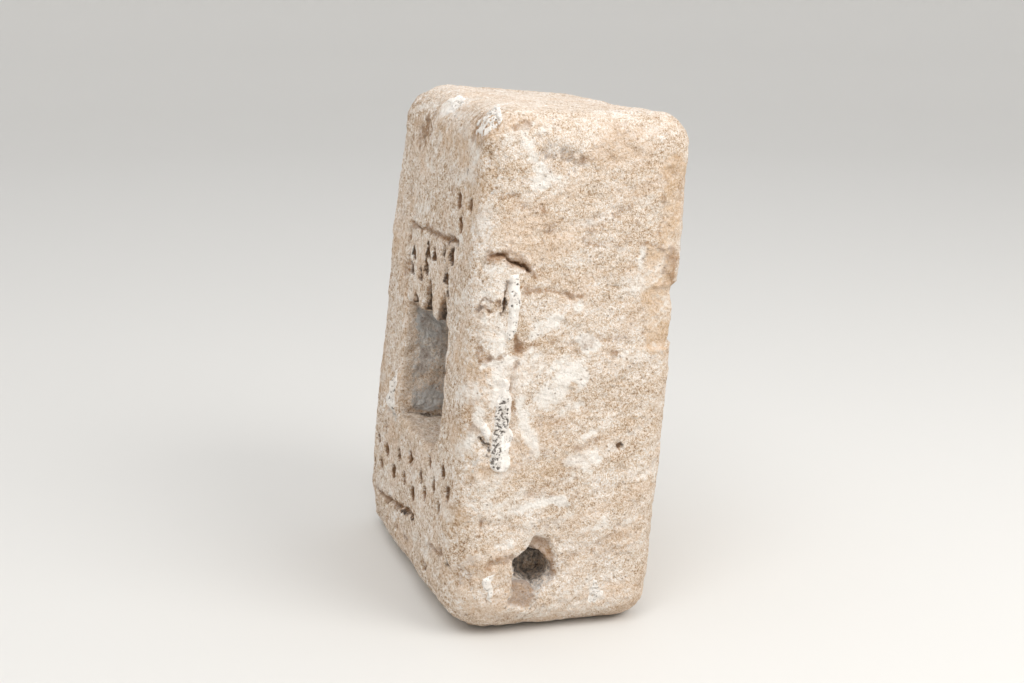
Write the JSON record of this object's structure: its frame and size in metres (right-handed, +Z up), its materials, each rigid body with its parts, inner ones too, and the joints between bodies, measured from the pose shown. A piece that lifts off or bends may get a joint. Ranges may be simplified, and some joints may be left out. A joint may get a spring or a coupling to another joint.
{
  "type": "stone niche",
  "caption": "Worn limestone block with a small carved niche: lobed head, chip carving, an incised frame, pecked dots and a rough socket in one end.",
  "frame": {"origin": "middle of the flat underside, where the stone stands", "axes": "+Z up; -Y out of the carved front; +X out of the end with the socket"},
  "size_m": [0.2712, 0.1902, 0.385],
  "materials": {
    "stone": "dry, weathered, hand dressed"
  },
  "bodies": {
    "root": {"niche_block": "stone"}
  },
  "joints": []
}
